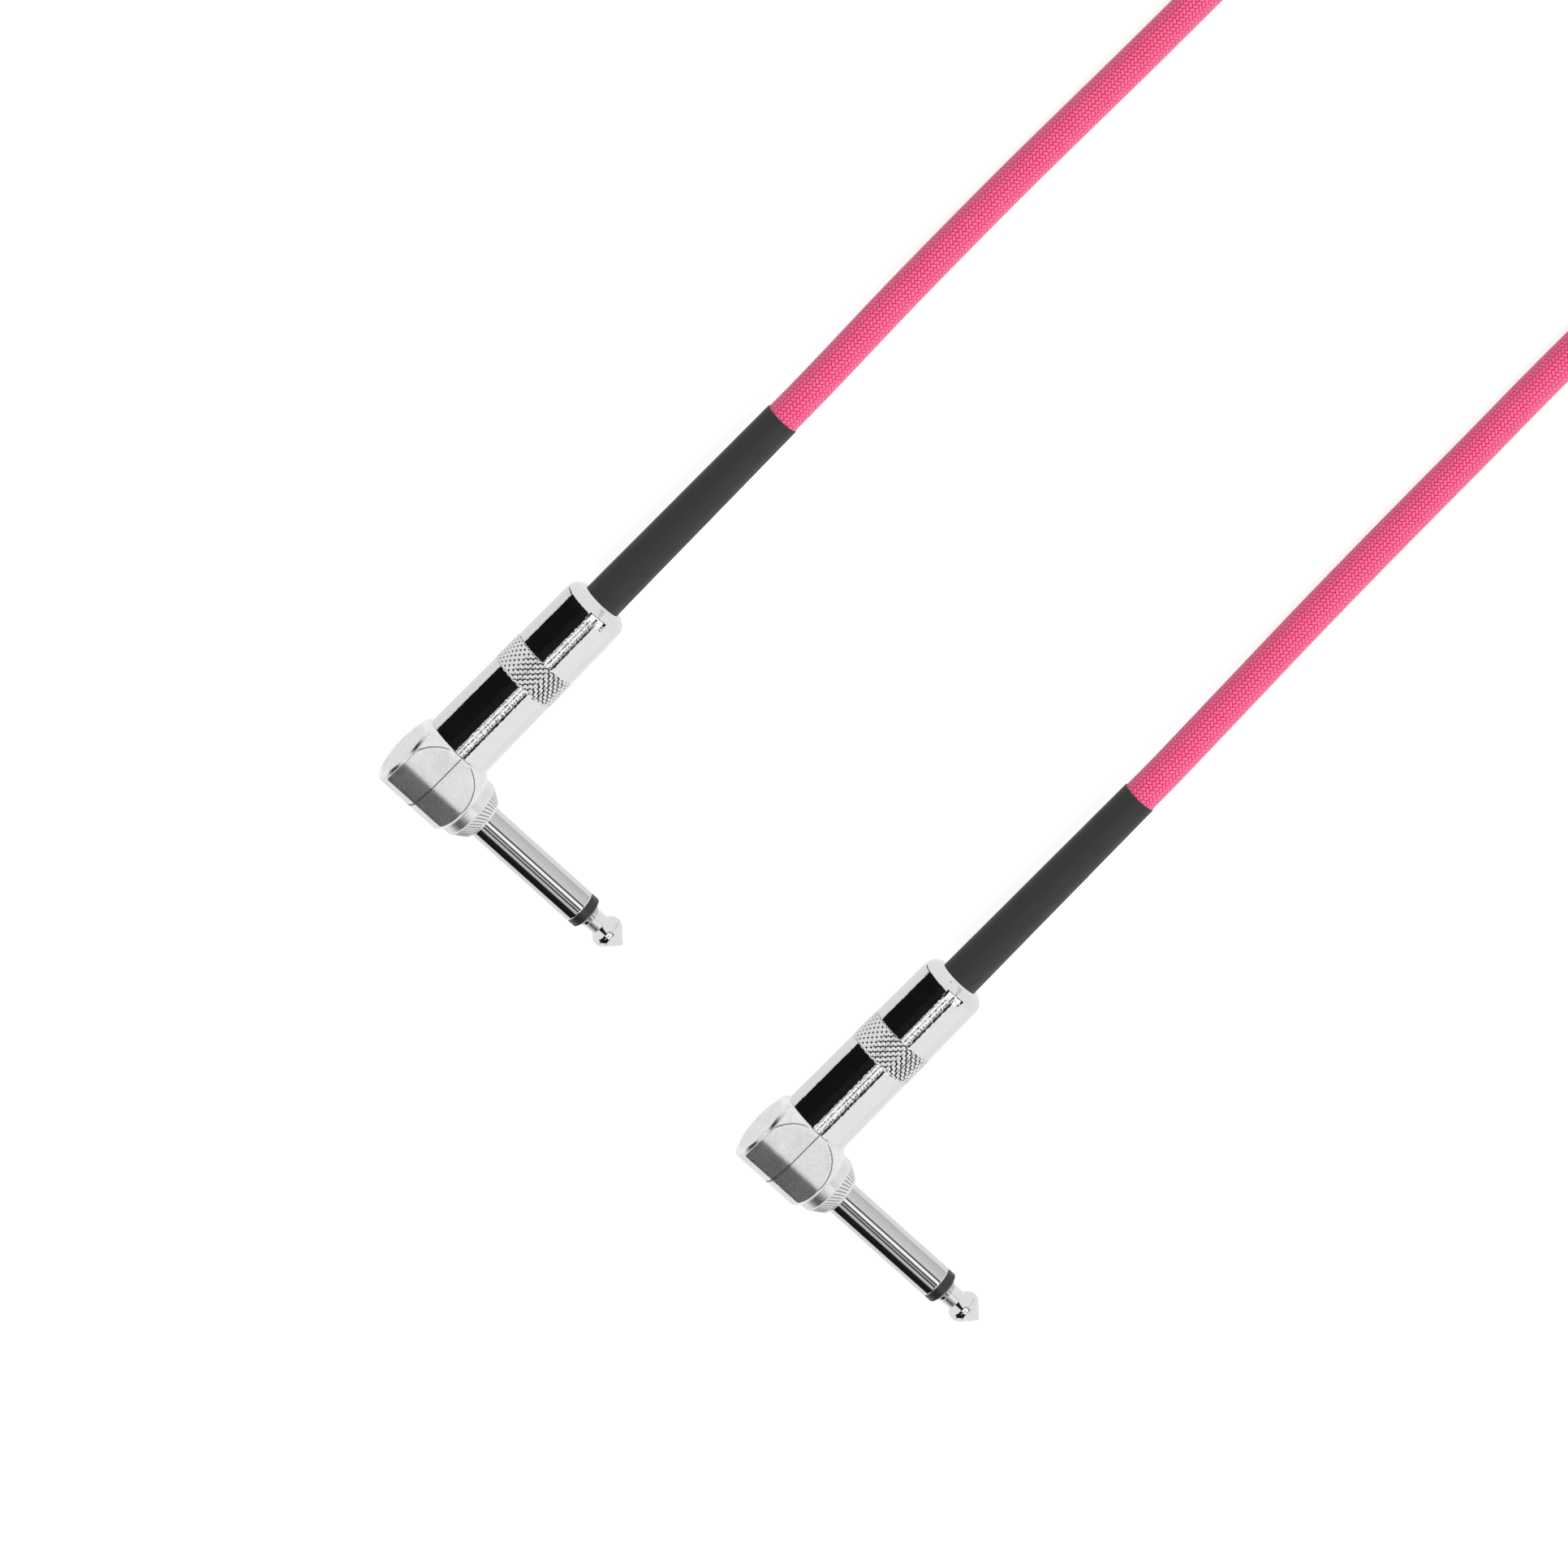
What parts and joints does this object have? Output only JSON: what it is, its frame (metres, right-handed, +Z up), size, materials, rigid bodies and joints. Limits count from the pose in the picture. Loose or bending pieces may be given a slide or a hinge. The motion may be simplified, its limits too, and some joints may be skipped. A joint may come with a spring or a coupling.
{
  "type": "instrument cable",
  "caption": "Braided instrument cable with a right-angle jack plug on each end, its spare length wound in a tied coil.",
  "frame": {"origin": "under the middle of the two plugs, on the surface that the cable lies on", "axes": "+X along both barrels towards the cord, the fingers point to -Y, +Z up"},
  "size_m": [0.3744, 0.1432, 0.0299],
  "materials": {
    "contact_nickel": "bright nickel plate on turned brass",
    "head_nickel": "sandblasted nickel plate on cast brass",
    "barrel_nickel": "bright nickel plate with a knurled band",
    "black_plastic": "moulded",
    "fibre": "pressed fibre",
    "terminal_brass": "stamped",
    "clear_plastic": "extruded tube",
    "shrink_tube": "matte shrunk tube",
    "braid": "herringbone braid of pink yarn",
    "copper": "bare copper",
    "core_insulation": "extruded",
    "tie_fabric": "hook-and-loop strap"
  },
  "bodies": {
    "root": {"plug_a_tip": "contact_nickel", "plug_a_tip_insulator": "black_plastic", "plug_a_finger": "contact_nickel", "plug_a_head_base": "head_nickel", "plug_a_head_cap": "head_nickel", "plug_a_tip_washer": "fibre", "plug_a_tip_lug": "terminal_brass", "plug_a_ground_clamp": "terminal_brass", "plug_a_boot": "shrink_tube", "plug_a_jacket": "braid", "plug_a_screen": "copper", "plug_a_dielectric": "core_insulation", "plug_a_core_wire": "copper", "plug_b_tip": "contact_nickel", "plug_b_tip_insulator": "black_plastic", "plug_b_finger": "contact_nickel", "plug_b_head_base": "head_nickel", "plug_b_head_cap": "head_nickel", "plug_b_tip_washer": "fibre", "plug_b_tip_lug": "terminal_brass", "plug_b_ground_clamp": "terminal_brass", "plug_b_boot": "shrink_tube", "plug_b_jacket": "braid", "plug_b_screen": "copper", "plug_b_dielectric": "core_insulation", "plug_b_core_wire": "copper", "cord_a": "braid", "cord_b": "braid", "cord_coil": "braid", "cord_tie": "tie_fabric"},
    "liner_a": {"plug_a_liner": "clear_plastic"},
    "barrel_a": {"plug_a_barrel": "barrel_nickel"},
    "liner_b": {"plug_b_liner": "clear_plastic"},
    "barrel_b": {"plug_b_barrel": "barrel_nickel"}
  },
  "joints": [
    {"name": "barrel_a_slide", "type": "slide", "parent": "root", "child": "liner_a", "axis": [1, 0, 0], "range_m": [0, 0.0051]},
    {"name": "barrel_a_turn", "type": "hinge", "parent": "liner_a", "child": "barrel_a", "pos_m": [-0.03617, 0.06477, 0.00645], "axis": [1, 0, 0], "range_deg": [0, 1800]},
    {"name": "barrel_b_slide", "type": "slide", "parent": "root", "child": "liner_b", "axis": [1, 0, 0], "range_m": [0, 0.0051]},
    {"name": "barrel_b_turn", "type": "hinge", "parent": "liner_b", "child": "barrel_b", "pos_m": [-0.04337, -0.02663, 0.00645], "axis": [1, 0, 0], "range_deg": [0, 1800]}
  ],
  "couplings": [
    {"joint": "barrel_a_slide", "follows": "barrel_a_turn", "m_per_rad": 0.00015915},
    {"joint": "barrel_b_slide", "follows": "barrel_b_turn", "m_per_rad": 0.00015915}
  ]
}
